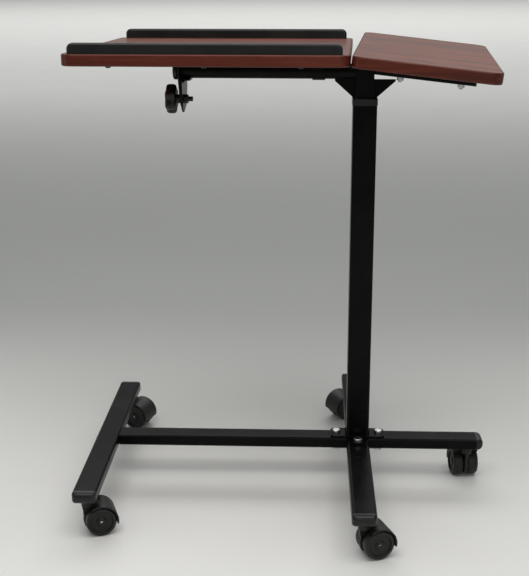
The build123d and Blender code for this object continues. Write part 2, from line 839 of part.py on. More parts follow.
def ledge(side):
    """A moulded lip along one long edge of the main top, rounded at its top ends."""
    outline = Rectangle(ledge_length, ledge_height)
    outline = Pos(0, ledge_height / 2) * outline
    tops = outline.vertices().sort_by(Axis.Y)[-2:]
    outline = fillet(tops, ledge_round)
    body = across_trail(outline, ledge_thickness)
    rims = body.edges().filter_by(lambda edge: edge.bounding_box().max.Z > ledge_height - 0.01
                                  and edge.length > ledge_length / 2)
    body = fillet(rims, 4.0)
    body = Pos(main_middle, side * ledge_y, main_top_z) * body
    for x, y in ledge_screw_places():
        if y * side > 0:
            body = body - pilot_hole(x, y, main_top_z, ledge_screw_bite)
    return body


def saddle():
    """Strap round the beam with two flanges screwed under the main top."""
    inside = beam_diameter / 2 + running_clearance
    outside = inside + saddle_strap
    loop = Circle(outside) - Circle(inside)
    loop = loop & Pos(0, -outside) * Rectangle(4 * outside, 2 * outside)
    legs_up = beam_drop
    leg_shape = Pos((inside + outside) / 2, legs_up / 2) * Rectangle(saddle_strap, legs_up)
    flange_shape = Pos(inside + saddle_flange / 2, legs_up - saddle_strap / 2) * Rectangle(
        saddle_flange, saddle_strap)
    shape = loop + leg_shape + flange_shape
    shape = shape + mirror(leg_shape, Plane.YZ) + mirror(flange_shape, Plane.YZ)
    strap = extrude(Plane.YZ * shape, saddle_width / 2, both=True)
    strap = Pos(saddle_x, 0, beam_z) * strap
    for x, y in underside_screw_places()[:2]:
        hole = ledge_screw_diameter + 2 * hole_clearance
        strap = strap - upright(hole, board_bottom - 10, board_bottom + 1, x, y)
    return strap


def sector_slot(width):
    """Curved slot round the beam's axis, from the screw towards the far side, in Y and Z."""
    inner = clamp_radius - width / 2
    outer = clamp_radius + width / 2
    ring = Circle(outer) - Circle(inner)
    reach = 3 * outer
    ends = [radians(angle) for angle in (-main_tilt - slot_slack, -main_tilt + tilt_limit + slot_slack)]
    fan = Polygon((0, 0), *[(reach * sin(end), -reach * cos(end)) for end in ends], align=None)
    slot = ring & fan
    for end in ends:
        slot = slot + Pos(clamp_radius * sin(end), -clamp_radius * cos(end)) * Circle(width / 2)
    return slot


def tilt_sector():
    """Slotted plate under the main top that turns on the beam and is clamped by the knob."""
    top = beam_drop
    low = -sector_depth
    plate = Polygon((-sector_near, top), (-sector_near, 10), (-12, low + 20), (15, low),
                    (45, low + 12), (sector_far, low + 42), (sector_far, top), align=None)
    plate = fillet([corner for corner in plate.vertices() if corner.Y < top - 1], 6.0)
    hole = beam_diameter + 2 * running_clearance
    plate = plate - Circle(hole / 2)
    slot_width = tilt_screw_diameter + 2 * hole_clearance
    plate = plate - sector_slot(slot_width)
    body = extrude(Plane.YZ * plate, plate_thickness / 2, both=True)
    body = Pos(sector_x, 0, beam_z) * body
    start = sector_x - plate_thickness / 2 - sector_flange
    flange = block(start, sector_x, -sector_near, sector_far, board_bottom - plate_thickness,
                   board_bottom)
    body = body + flange
    for x, y in underside_screw_places()[2:]:
        hole = ledge_screw_diameter + 2 * hole_clearance
        body = body - upright(hole, board_bottom - 10, board_bottom + 1, x, y)
    return body


def main_top_screws():
    """Screws up into the ledges, and screws that hold the saddle and the sector plate."""
    bite = board_thickness + ledge_screw_bite - 0.5
    screws = [wood_screw(x, y, board_bottom, bite) for x, y in ledge_screw_places()]
    for index, (x, y) in enumerate(underside_screw_places()):
        metal = saddle_strap if index < 2 else plate_thickness
        screws.append(wood_screw(x, y, board_bottom - metal, wood_screw_bite - 0.5, metal))
    return solids_of(*screws)


tilt_knob_start = sector_x - plate_thickness / 2 - face_gap
tilt_screw_start = tilt_knob_start - tilt_hub_length - tilt_knob_thickness * 0.6
tilt_screw_tip = ear_x + plate_thickness / 2 + nut_thickness + screw_tail


def tilt_knob():
    knob = star_knob(tilt_knob_diameter, tilt_knob_thickness, tilt_hub_diameter, tilt_hub_length)
    knob = Pos(tilt_knob_start, 0, tilt_screw_z) * Rot(0, -90, 0) * knob
    return knob - along_x(tilt_screw_diameter + 2 * seat_clearance, tilt_screw_start,
                          tilt_knob_start + 1, 0, tilt_screw_z)


def tilt_screw():
    return along_x(tilt_screw_diameter, tilt_screw_start, tilt_screw_tip, 0, tilt_screw_z)


def side_top_board():
    core = Pos(side_length / 2, 0, 0) * board_core(side_length, 0.0)
    for x, y in strap_screw_places():
        core = core - pilot_hole(x, y, -board_thickness, wood_screw_bite + 0.5)
    return side_frame * core


def side_top_edge():
    return side_frame * Pos(side_length / 2, 0, 0) * edge_moulding(side_length, 0.0)


# ------------------------------------------------------------------ assembly
tilting = ("main_top_board", "main_top_edge", "near_ledge", "far_ledge", "hinge_saddle",
           "tilt_sector", "main_top_screws")
tilted = Pos(0, 0, beam_z) * Rot(main_tilt, 0, 0) * Pos(0, 0, -beam_z)


def build():
    """Every node by name, about the post's axis."""
    nodes = {
        "left_cross_bar": left_cross_bar(),
        "long_bar": long_bar(),
        "front_leg": leg(-1, "near_middle"),
        "rear_leg": leg(1, "far_middle"),
        "bar_end_caps": bar_end_caps(),
        "cross_bar_insert": cross_bar_insert(),
        "cross_bar_bolts": cross_bar_bolts(),
        "foot_plate": foot_plate(),
        "clamp_plate": clamp_plate(),
        "base_bolts": base_bolts(),
        "base_nuts": base_nuts(),
        "caster_sockets": caster_sockets(),
        "caster_stems": caster_stems(),
        "lower_post": lower_post(),
        "post_collar": post_collar(),
        "height_knob": height_knob(),
        "height_screw": height_screw(),
    }
    head = {
        "upper_post": upper_post(),
        "lower_glide": lower_glide(),
        "main_beam": main_beam(),
        "beam_end_cap": beam_end_cap(),
        "head_gussets": solids_of(gusset(-1), gusset(1)),
        "lock_ear": lock_ear(),
        "tilt_nut": tilt_nut(),
        "side_beam": side_beam(),
        "side_beam_cap": side_beam_cap(),
        "side_straps": side_straps(),
        "side_bolts": side_bolts(),
        "side_top_screws": side_top_screws(),
        "side_top_board": side_top_board(),
        "side_top_edge": side_top_edge(),
        "main_top_board": main_top_board(),
        "main_top_edge": main_top_edge(),
        "near_ledge": ledge(-1),
        "far_ledge": ledge(1),
        "hinge_saddle": saddle(),
        "tilt_sector": tilt_sector(),
        "main_top_screws": main_top_screws(),
        "tilt_knob": tilt_knob(),
        "tilt_screw": tilt_screw(),
    }
    for name in tilting:
        head[name] = tilted * head[name]
    for name, shape in head.items():
        nodes[name] = Rot(0, 0, head_twist) * shape
    for name in caster_places:
        nodes[name + "_hood"] = place_caster(caster_hood(), name)
        nodes[name + "_axle"] = place_caster(caster_axle(), name)
        nodes[name + "_wheel_a"] = place_caster(caster_wheel(-1), name)
        nodes[name + "_wheel_b"] = place_caster(caster_wheel(1), name)
    return nodes


def stand_centred(nodes):
    """Move the table so that the origin is under the middle of its outline, on the floor."""
    box = Compound(children=[solid for shape in nodes.values() for solid in shape.solids()])
    box = box.bounding_box()
    shift = Pos(-box.center().X, -box.center().Y, -box.min.Z)
    return {name: shift * shape for name, shape in nodes.items()}, shift


nodes, shift = stand_centred(build())
os.makedirs("parts", exist_ok=True)
for name, shape in nodes.items():
    export_step(shape, "parts/" + name + ".step")
print(len(nodes), "nodes, origin moved by", shift.position)
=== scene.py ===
# %% [markdown]
# # A rolling overbed table
# This lesson dresses a finished CAD model of an overbed table in Blender. The table has an
# H-shaped steel base on five casters, one telescopic post, a wide top that tilts about a round
# beam, and a narrow side top. The CAD model is loaded first and never changes: every visible
# piece either is a CAD node with a better material, or stands in for one.

# %% Load the CAD frame
import json
from math import atan2, cos, hypot, radians, sin, tau

import bmesh
import bpy
from mathutils import Matrix, Vector


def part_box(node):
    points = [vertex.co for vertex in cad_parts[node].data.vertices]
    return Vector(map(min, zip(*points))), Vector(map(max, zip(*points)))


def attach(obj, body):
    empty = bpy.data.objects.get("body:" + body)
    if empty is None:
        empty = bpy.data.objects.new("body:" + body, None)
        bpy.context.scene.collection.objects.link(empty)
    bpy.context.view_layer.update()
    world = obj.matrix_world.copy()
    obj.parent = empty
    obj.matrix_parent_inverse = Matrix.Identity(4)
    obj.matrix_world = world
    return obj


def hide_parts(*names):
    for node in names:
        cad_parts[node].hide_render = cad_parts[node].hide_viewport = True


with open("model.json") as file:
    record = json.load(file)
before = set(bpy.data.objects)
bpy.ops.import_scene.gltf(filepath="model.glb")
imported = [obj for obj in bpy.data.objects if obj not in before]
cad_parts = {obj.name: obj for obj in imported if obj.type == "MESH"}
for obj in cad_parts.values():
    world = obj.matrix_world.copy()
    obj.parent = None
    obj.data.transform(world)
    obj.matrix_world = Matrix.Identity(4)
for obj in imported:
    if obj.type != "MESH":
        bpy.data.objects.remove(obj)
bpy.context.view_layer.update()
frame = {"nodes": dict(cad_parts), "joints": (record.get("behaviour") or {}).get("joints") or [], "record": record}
record = frame["record"]
nodes = frame["nodes"]
joints = {joint["name"]: joint for joint in frame["joints"]}
body_of_node = {node: body for body, members in record["behaviour"]["bodies"].items() for node in members}
slot_of_node = {row["node"]: row["material_slot"] for row in record["subparts"]}

# %% [markdown]
# ## The camera
# A camera is placed as a person would hold it: a point to stand at, the way it faces, and a
# focal length. The facing is built from three angles, turned left or right (yaw), down (pitch)
# and about the line of sight (roll). A rotation matrix from three axes needs no guessing about
# the order of Euler angles, so the axes are worked out one by one.

# %% Stand the camera
camera_place = Vector((0.0341, -1.8414, 0.9120))
camera_yaw = -0.0417
camera_pitch = 0.2919
camera_roll = -0.00307
camera_lens = 68.75


def stand_camera():
    forward = Vector((sin(camera_yaw) * cos(camera_pitch), cos(camera_yaw) * cos(camera_pitch),
                      -sin(camera_pitch)))
    level = Vector((cos(camera_yaw), -sin(camera_yaw), 0.0))
    upward = level.cross(forward)
    right = level * cos(camera_roll) + upward * sin(camera_roll)
    up = upward * cos(camera_roll) - level * sin(camera_roll)
    camera = bpy.data.objects.new("camera", bpy.data.cameras.new("camera"))
    camera.data.lens = camera_lens
    camera.data.sensor_width = 36.0
    turn = Matrix((right, up, -forward)).transposed().to_4x4()
    camera.matrix_world = Matrix.Translation(camera_place) @ turn
    bpy.context.scene.collection.objects.link(camera)
    bpy.context.scene.camera = camera
    return camera


print("camera at", tuple(round(v, 3) for v in stand_camera().location))

# %% [markdown]
# ## Light and floor
# The table stands in soft studio light: one very large lamp overhead, which leaves a pale shadow
# under the tops, a weaker one beside the camera, and one far behind that lights the floor towards
# the horizon. A big area lamp gives soft shadow edges
# because every point of the floor sees most of it. The world colour fills in the rest, and it is
# also what the glossy tops reflect when they are seen almost edge on.

# %% Light the set
floor_tone = (0.84, 0.835, 0.815)


def area_lamp(name, place, target, size, power, tint=(1.0, 1.0, 1.0)):
    lamp = bpy.data.lights.new(name, "AREA")
    lamp.shape = "RECTANGLE"
    lamp.size, lamp.size_y = size
    lamp.energy = power
    lamp.color = tint
    holder = bpy.data.objects.new(name, lamp)
    holder.location = place
    aim = Vector(target) - Vector(place)
    holder.rotation_mode = "QUATERNION"
    holder.rotation_quaternion = aim.to_track_quat("-Z", "Y")
    bpy.context.scene.collection.objects.link(holder)
    return holder


area_lamp("overhead", (0.0, -0.7, 2.3), (0.0, -0.6, 0.0), (2.2, 1.5), 29.0, (1.0, 0.99, 0.97))
area_lamp("front_fill", (0.9, -3.0, 1.5), (0.0, 0.0, 0.4), (1.6, 1.2), 9.0)
area_lamp("left_fill", (-2.6, -0.6, 1.3), (0.0, 0.0, 0.4), (1.0, 1.6), 4.0)
area_lamp("far_wash", (0.0, 15.0, 12.0), (0.0, 15.0, 0.0), (22.0, 9.0), 1650.0)

world = bpy.data.worlds.new("studio")
world.use_nodes = True
world.node_tree.nodes["Background"].inputs["Color"].default_value = (0.62, 0.64, 0.62, 1.0)
world.node_tree.nodes["Background"].inputs["Strength"].default_value = 0.42
bpy.context.scene.world = world
bpy.context.scene.view_settings.view_transform = "Standard"

# %% [markdown]
# ## Values that can be used in an expression
# Both shader nodes and Geometry Nodes pass values through sockets. Clicking each Math node together
# is slow to read in a script, so one small class wraps a socket. Adding or multiplying two of them
# adds the Math node that does it, and `node` adds any other kind. The arithmetic of a material
# then reads like arithmetic.

# %% A socket that knows arithmetic


class Flow:
    """A node tree with one of its output sockets, usable in Python expressions."""

    def __init__(self, tree, socket=None):
        self.tree = tree
        self.socket = socket

    def node(self, kind, settings=None, inputs=None, output=0):
        """Add a node: its settings first, then the values or links of its sockets."""
        made = self.tree.nodes.new(kind)
        for key, value in (settings or {}).items():
            setattr(made, key, value)
        for key, value in (inputs or {}).items():
            entry = made.inputs[key]
            if isinstance(value, Flow):
                self.tree.links.new(value.socket, entry)
            else:
                entry.default_value = value
        return Flow(self.tree, made.outputs[output])

    def math(self, operation, first, second=None):
        numbers = {0: first} if second is None else {0: first, 1: second}
        return self.node("ShaderNodeMath", {"operation": operation}, numbers)

    def __add__(self, other):
        return self.math("ADD", self, other)

    def __radd__(self, other):
        return self.math("ADD", other, self)

    def __sub__(self, other):
        return self.math("SUBTRACT", self, other)

    def __rsub__(self, other):
        return self.math("SUBTRACT", other, self)

    def __mul__(self, other):
        return self.math("MULTIPLY", self, other)

    def __rmul__(self, other):
        return self.math("MULTIPLY", other, self)

    def __truediv__(self, other):
        return self.math("DIVIDE", self, other)

    def step(self, low, high):
        """0 below low, 1 above high, and smooth between."""
        return self.node("ShaderNodeMapRange", {"interpolation_type": "SMOOTHSTEP"},
                         {"Value": self, "From Min": low, "From Max": high})


# %% [markdown]
# ## Starting a material
# Every material starts the same way: one Principled shader, whose fixed numbers are set straight
# on its sockets, and a position on the object to hang patterns on. Object coordinates are in
# metres here, so a noise scale of 1000 makes spots about a millimetre across.

# %% Start a material
materials = {}


def start_material(name, **fixed):
    """A new material with a Principled shader; returns the tree, the shader and the position."""
    material = bpy.data.materials.new(name)
    material.use_nodes = True
    tree = material.node_tree
    shader = tree.nodes["Principled BSDF"]
    for key, value in fixed.items():
        shader.inputs[key.replace("_", " ")].default_value = value
    flow = Flow(tree)
    place = flow.node("ShaderNodeTexCoord", output="Object")
    materials[name] = material
    return flow, shader, place


def feed(flow, shader, **links):
    """Link what varies over the surface to the shader's sockets."""
    for key, value in links.items():
        flow.tree.links.new(value.socket, shader.inputs[key.replace("_", " ")])


def noise(flow, place, scale, detail=2.0, roughness=0.5, output="Fac"):
    return flow.node("ShaderNodeTexNoise", None, {"Vector": place, "Scale": scale, "Detail": detail,
                                                  "Roughness": roughness}, output)


def blend_colours(flow, factor, first, second):
    return flow.node("ShaderNodeMix", {"data_type": "RGBA"},
                     {"Factor": factor, 6: first, 7: second}, 2)


def bump(flow, height, distance, strength=1.0):
    return flow.node("ShaderNodeBump", None,
                     {"Strength": strength, "Distance": distance, "Height": height})


# %% [markdown]
# ## Black powder coat
# The steel tubes are dipped in black powder and baked. The coat is satin, very slightly wavy like
# orange peel, and a little greyer where hands and shoes have rubbed it. A fine noise drives the
# bump, a coarse one varies the gloss, and rare thin scuffs lighten the colour.

# %% Powder-coated steel


def powder_coat():
    flow, shader, place = start_material("powder_coated_steel", IOR=1.5, Specular_IOR_Level=0.08)
    peel = noise(flow, place, 520.0, 2.0)
    haze = noise(flow, place, 14.0, 3.0, 0.6)
    speck = noise(flow, place, 1700.0, 1.0)
    stretched = flow.node("ShaderNodeMapping", None,
                          {"Vector": place, "Scale": (60.0, 60.0, 420.0)})
    scuff = noise(flow, stretched, 1.0, 4.0, 0.7).step(0.66, 0.74)
    tone = blend_colours(flow, haze.step(0.3, 0.75), (0.0016, 0.0019, 0.0017, 1.0),
                         (0.0042, 0.0047, 0.0042, 1.0))
    tone = blend_colours(flow, scuff * 0.30, tone, (0.022, 0.022, 0.021, 1.0))
    feed(flow, shader, Base_Color=tone, Roughness=0.20 + haze * 0.12 + scuff * 0.1,
         Normal=bump(flow, peel + speck * 0.35, 0.00006, 0.8))


powder_coat()

# %% [markdown]
# ## Moulded black plastic
# The ledges, end caps, collar and knobs are moulded plastic with a fine spark texture. It is duller
# than the steel beside it, and a touch greyer. A Voronoi cell pattern gives the pebbled skin of
# a textured mould.

# %% Moulded plastics


def moulded_plastic(name, dark, light, roughness, grain, depth):
    flow, shader, place = start_material(name, IOR=1.46, Specular_IOR_Level=0.38)
    pebble = flow.node("ShaderNodeTexVoronoi", {"feature": "SMOOTH_F1"},
                       {"Vector": place, "Scale": grain, "Smoothness": 0.6}, "Distance")
    cloud = noise(flow, place, 22.0, 3.0)
    fine = noise(flow, place, grain * 2.3, 2.0)
    tone = blend_colours(flow, cloud.step(0.3, 0.7), (*dark, 1.0), (*light, 1.0))
    feed(flow, shader, Base_Color=tone, Roughness=roughness + cloud * 0.10 + fine * 0.05,
         Normal=bump(flow, pebble * 0.7 + fine * 0.3, depth, 0.7))


moulded_plastic("black_plastic", (0.0050, 0.0056, 0.0056), (0.010, 0.0105, 0.0105), 0.27, 900.0, 0.00006)
moulded_plastic("caster_plastic", (0.0075, 0.0080, 0.0074), (0.0135, 0.0138, 0.0128), 0.38, 1100.0, 0.00005)

# %% [markdown]
# ## Bright zinc
# Bolts, nuts and screws are zinc plated: bright, slightly blue-white metal whose gloss is broken by
# the fine grain of the plating. Metallic is 1, so the base colour is the colour of its mirror
# image.

# %% Zinc plate


def zinc_plate():
    flow, shader, place = start_material("zinc_plated_steel", Metallic=1.0)
    grain = noise(flow, place, 800.0, 3.0, 0.6)
    cloud = noise(flow, place, 90.0, 2.0)
    tone = blend_colours(flow, cloud.step(0.35, 0.7), (0.60, 0.62, 0.65, 1.0),
                         (0.74, 0.73, 0.70, 1.0))
    feed(flow, shader, Base_Color=tone, Roughness=0.20 + grain * 0.22,
         Normal=bump(flow, grain, 0.00003, 0.6))


zinc_plate()

# %% [markdown]
# ## Black oxide
# The tilt screw, its nut and the screws under the tops are blackened steel: still a metal, but
# dark, with a dull oily sheen.

# %% Blackened steel


def black_oxide():
    flow, shader, place = start_material("blackened_steel", Metallic=1.0)
    grain = noise(flow, place, 900.0, 3.0, 0.6)
    cloud = noise(flow, place, 120.0, 2.0)
    tone = blend_colours(flow, cloud.step(0.35, 0.7), (0.035, 0.037, 0.040, 1.0),
                         (0.070, 0.070, 0.068, 1.0))
    feed(flow, shader, Base_Color=tone, Roughness=0.34 + grain * 0.18,
         Normal=bump(flow, grain, 0.00003, 0.6))


black_oxide()

# %% [markdown]
# ## Cherry laminate
# The tops are board covered with a printed cherry laminate under a clear gloss layer. The print has
# long streaks along the board, broad bands of lighter and darker wood, and short dark pores.
# The position is stretched along the grain before it reaches the noise, which draws every spot
# out into a streak. The clear layer is a coat, so the surface mirrors the room at low angles
# while the wood keeps its own softer gloss.

# %% Laminate and edge moulding
head_twist = atan2(joints["main_top_tilt"]["axis"][1], joints["main_top_tilt"]["axis"][0])


def along_grain(flow, place, stretch):
    """Line the grain up with the boards and draw it out along them."""
    turned = flow.node("ShaderNodeMapping", {"vector_type": "POINT"},
                       {"Vector": place, "Rotation": (0.0, 0.0, -head_twist)})
    return flow.node("ShaderNodeMapping", {"vector_type": "POINT"},
                     {"Vector": turned, "Scale": (stretch, 1.0, 1.0)})


def cherry(name, dark, middle, light, roughness, coat):
    flow, shader, place = start_material(name, IOR=1.5, Specular_IOR_Level=0.3,
                                         Coat_Roughness=0.06, Coat_IOR=1.5)
    wander = noise(flow, place, 5.0, 2.0)
    bands_at = flow.node("ShaderNodeVectorMath", {"operation": "ADD"},
                         {0: along_grain(flow, place, 0.07),
                          1: flow.node("ShaderNodeCombineXYZ", None, {"Y": wander * 0.018})})
    bands = noise(flow, bands_at, 34.0, 3.0, 0.55)
    streaks = noise(flow, along_grain(flow, place, 0.035), 190.0, 4.0, 0.65)
    pores = noise(flow, along_grain(flow, place, 0.05), 900.0, 2.0, 0.6).step(0.60, 0.72)
    tone = blend_colours(flow, bands.step(0.34, 0.66), (*dark, 1.0), (*middle, 1.0))
    tone = blend_colours(flow, streaks.step(0.42, 0.70) * 0.55, tone, (*light, 1.0))
    tone = blend_colours(flow, pores * 0.45, tone, (*(v * 0.45 for v in dark), 1.0))
    wear = noise(flow, place, 30.0, 3.0, 0.6)
    feed(flow, shader, Base_Color=tone, Roughness=roughness + wear * 0.10 + pores * 0.1,
         Coat_Weight=coat - wear * 0.10,
         Normal=bump(flow, streaks * 0.3 - pores, 0.00003, 0.5))


cherry("cherry_laminate", (0.105, 0.0150, 0.0060), (0.205, 0.036, 0.0130), (0.330, 0.085, 0.036), 0.30, 0.34)
cherry("cherry_edge", (0.052, 0.0068, 0.0030), (0.098, 0.0155, 0.0066), (0.165, 0.034, 0.016), 0.26, 0.04)
print("materials:", sorted(materials))

# %% [markdown]
# ## Dress the CAD nodes
# The record says which finish each CAD node has. A node whose shape is already right only needs
# that material in its slot.

# %% Give every node its finish
for name, node in nodes.items():
    node.data.materials.clear()
    node.data.materials.append(materials[slot_of_node[name]])
print("dressed", len(nodes), "nodes")

# %% [markdown]
# ## Skins made of rings
# A turned or lobed shape is a stack of rings. Each ring sits at a distance along an axis, and has
# a radius that may change with the angle. Neighbouring rings are joined with quads. A stack whose
# last ring joins its first is a tube with no poles; any other is closed with a middle point at
# each end. Sharp edges are marked afterwards from the angle between faces.

# %% Rings, skins and pieces
bpy.context.view_layer.update()


def axis_frame(axis):
    """Two directions square to an axis."""
    axis = Vector(axis).normalized()
    across = axis.cross(Vector((0.0, 0.0, 1.0)))
    if across.length < 0.1:
        across = axis.cross(Vector((0.0, 1.0, 0.0)))
    across.normalize()
    return axis, across, axis.cross(across)


def ring(start, frame_of_axis, along, radius, count):
    """Points round an axis; radius is a number or a function of the angle."""
    axis, across, other = frame_of_axis
    points = []
    for step in range(count):
        angle = tau * step / count
        reach = radius(angle) if callable(radius) else radius
        points.append(start + axis * along + (across * cos(angle) + other * sin(angle)) * reach)
    return points


def skin(name, rings, joined=False):
    """A closed mesh over a stack of equal rings."""
    made = bmesh.new()
    loops = [[made.verts.new(point) for point in points] for points in rings]
    pairs = list(zip(loops, loops[1:]))
    if joined:
        pairs.append((loops[-1], loops[0]))
    for first, second in pairs:
        for here in range(len(first)):
            after = (here + 1) % len(first)
            made.faces.new((first[here], first[after], second[after], second[here]))
    for loop in () if joined else (loops[0], loops[-1]):
        hub = made.verts.new(sum((vert.co for vert in loop), Vector()) / len(loop))
        for here in range(len(loop)):
            made.faces.new((loop[(here + 1) % len(loop)], loop[here], hub))
    bmesh.ops.recalc_face_normals(made, faces=made.faces)
    mesh = bpy.data.meshes.new(name)
    made.to_mesh(mesh)
    made.free()
    return mesh


def add_piece(name, mesh, body, finish, *stands_for):
    """Shade a mesh, give it its finish and let it ride on a body."""
    mesh.shade_smooth()
    mesh.set_sharp_from_angle(angle=radians(32))
    mesh.materials.clear()
    mesh.materials.append(materials[finish])
    piece = bpy.data.objects.new(name, mesh)
    bpy.context.scene.collection.objects.link(piece)
    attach(piece, body)
    if stands_for:
        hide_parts(*stands_for)
    return piece


def about_axis(node, joint):
    """Each vertex of a CAD node as distance along a joint's axis, distance from it, and angle."""
    start, frame_of_axis = Vector(joints[joint]["pos_m"]), axis_frame(joints[joint]["axis"])
    rows = []
    for vert in nodes[node].data.vertices:
        offset = nodes[node].matrix_world @ vert.co - start
        along, x, y = (offset.dot(direction) for direction in frame_of_axis)
        rows.append((along, hypot(x, y), atan2(y, x)))
    return rows


# %% [markdown]
# ## Wheels
# Each caster has two wheels. A wheel is one closed profile swept round its axle: a round-shouldered
# tread, a raised rim, a dished face and a hub with the hole for the axle. Its size, its middle
# and its axle all come from the CAD node that it stands for.

# %% Turn the wheels


def wheel(node):
    spin = node + "_spin"
    rows = about_axis(node, spin)
    low, high = min(row[0] for row in rows), max(row[0] for row in rows)
    outer, bore = max(row[1] for row in rows), min(row[1] for row in rows)
    half = (high - low) / 2
    side = [(bore, 0.93), (0.26 * outer, 0.93), (0.29 * outer, 0.88), (0.33 * outer, 0.68),
            (0.68 * outer, 0.66), (0.72 * outer, 0.74), (0.745 * outer, 0.95), (0.77 * outer, 1.0),
            (0.86 * outer, 1.0), (0.93 * outer, 0.95), (0.98 * outer, 0.78), (outer, 0.55)]
    profile = [(radius, -place) for radius, place in side]
    profile += [(radius, place) for radius, place in reversed(side)]
    start = Vector(joints[spin]["pos_m"])
    turned = axis_frame(joints[spin]["axis"])
    rings = [ring(start, turned, (low + high) / 2 + place * half, radius, 96)
             for radius, place in profile]
    return add_piece(node + "_turned", skin(node, rings, joined=True), node,
                     slot_of_node[node], node)


wheels = [wheel(node) for node in nodes if node.endswith(("_wheel_a", "_wheel_b"))]
print("turned", len(wheels), "wheels of", len(wheels[0].data.polygons), "faces")

# %% [markdown]
# ## Star knobs
# A knob is a stack of lobed rings: the radius dips between the lobes as a cosine, and the rings
# shrink towards both faces so that no edge is sharp. The lobes are turned to match the CAD
# knob, whose own angles are averaged by adding them up as arrows, one turn for each lobe.

# %% Mould the knobs


def star_knob(node, joint, body, lobes=6, dip=0.17):
    """Hole, hub, lobed disc and dished face, from the end of the hub outwards."""
    rows = about_axis(node, joint)
    low, high = min(row[0] for row in rows), max(row[0] for row in rows)
    outer = max(row[1] for row in rows)
    hub = max(row[1] for row in rows if row[0] < low + 1e-5)
    bore = min(row[1] for row in rows if row[0] < low + 1e-5)
    depth = max(row[0] for row in rows if row[1] < bore + 1e-5)
    back = min(row[0] for row in rows if row[1] > hub + 0.002)
    arrows = [row[2] for row in rows if row[1] > 0.985 * outer]
    phase = atan2(sum(sin(lobes * angle) for angle in arrows),
                  sum(cos(lobes * angle) for angle in arrows)) / lobes

    def lobed(scale):
        return lambda angle: outer * scale * (1 - dip * (0.5 - 0.5 * cos(lobes * (angle - phase))))

    thick = high - back
    rows = [(depth, bore), (low, bore), (low, hub * 0.97), (low + 0.0004, hub), (back, hub)]
    body_rings = [(0.0, 0.80), (0.05, 0.91), (0.16, 0.975), (0.34, 1.0), (0.66, 1.0),
                  (0.84, 0.975), (0.95, 0.91), (0.99, 0.82), (1.0, 0.70)]
    rows += [(back + thick * place, lobed(scale)) for place, scale in body_rings]
    rows += [(high, outer * 0.42), (high - 0.0006, outer * 0.37), (high - 0.0006, outer * 0.12)]
    start, turned = Vector(joints[joint]["pos_m"]), axis_frame(joints[joint]["axis"])
    rings = [ring(start, turned, along, radius, 144) for along, radius in rows]
    return add_piece(node + "_moulded", skin(node, rings), body, slot_of_node[node], node)


knobs = [star_knob("tilt_knob", "tilt_knob_turn", "tilt_clamp"),
         star_knob("height_knob", "height_knob_turn", "height_clamp")]
print("moulded", len(knobs), "knobs")

# %% [markdown]
# ## Geometry Nodes trees
# Whatever repeats or follows a path is made by a node tree with named sizes. The tree runs as a
# modifier on a small object, its result is copied out as a plain mesh, and the small object is
# thrown away. The sizes are set by each socket's identifier before the tree first runs.

# %% Build and run a tree


def start_tree(name, finish, **sizes):
    """An empty tree with named sizes; returns the tree, its input node and a way to end it."""
    tree = bpy.data.node_groups.new(name, "GeometryNodeTree")
    tree.interface.new_socket("Geometry", in_out="INPUT", socket_type="NodeSocketGeometry")
    for key, value in sizes.items():
        socket = tree.interface.new_socket(key, in_out="INPUT", socket_type="NodeSocketFloat")
        socket.default_value = value
    tree.interface.new_socket("Geometry", in_out="OUTPUT", socket_type="NodeSocketGeometry")
    entry = tree.nodes.new("NodeGroupInput")

    def end(shape):
        flow = Flow(tree)
        real = flow.node("GeometryNodeRealizeInstances", None, {"Geometry": shape})
        dressed = flow.node("GeometryNodeSetMaterial", None, {"Geometry": real})
        tree.nodes[-1].inputs["Material"].default_value = materials[finish]
        tree.links.new(dressed.socket, tree.nodes.new("NodeGroupOutput").inputs[0])

    return tree, {item.name: Flow(tree, item) for item in entry.outputs if item.name}, end


def run_tree(tree, points=((0.0, 0.0, 0.0),), **sizes):
    """Run a tree on some points and return the plain mesh."""
    seed = bpy.data.meshes.new("seed")
    seed.from_pydata([tuple(point) for point in points], [], [])
    holder = bpy.data.objects.new("holder", seed)
    modifier = holder.modifiers.new("tree", "NODES")
    modifier.node_group = tree
    for item in tree.interface.items_tree:
        if item.in_out == "INPUT" and item.name in sizes:
            modifier[item.identifier] = float(sizes[item.name])
    bpy.context.scene.collection.objects.link(holder)
    graph = bpy.context.evaluated_depsgraph_get()
    mesh = bpy.data.meshes.new_from_object(holder.evaluated_get(graph))
    holder.modifiers.remove(modifier)
    bpy.data.objects.remove(holder)
    return mesh


# %% [markdown]
# ## Weld beads
# A bead is a curve with the outline of the tube, thickened by a round section. Its radius rises and
# falls along the curve, which leaves the row of overlapping ripples of a hand-made weld.

# %% Lay the weld beads
bead_tree, size, end_tree = start_tree("weld_bead", "powder_coated_steel", Width=0.04, Depth=0.04,
                                       Corner=0.004, Bead=0.002, Pitch=0.0028)
flow = Flow(bead_tree)
outline = flow.node("GeometryNodeCurvePrimitiveQuadrilateral", {"mode": "RECTANGLE"},
                    {"Width": size["Width"], "Height": size["Depth"]})
outline = flow.node("GeometryNodeFilletCurve", {"mode": "POLY"},
                    {"Curve": outline, "Count": 10, "Radius": size["Corner"]})
outline = flow.node("GeometryNodeResampleCurve", {"mode": "LENGTH"},
                    {"Curve": outline, "Length": 0.0004})
walked = flow.node("GeometryNodeSplineParameter", output="Length")
ripple = flow.math("SINE", walked * tau / size["Pitch"])
section = flow.node("GeometryNodeCurvePrimitiveCircle", None,
                    {"Resolution": 10, "Radius": size["Bead"]}, "Curve")
end_tree(flow.node("GeometryNodeCurveToMesh", None, {"Curve": outline, "Profile Curve": section,
                                                     "Scale": 1.0 + ripple * 0.16}))


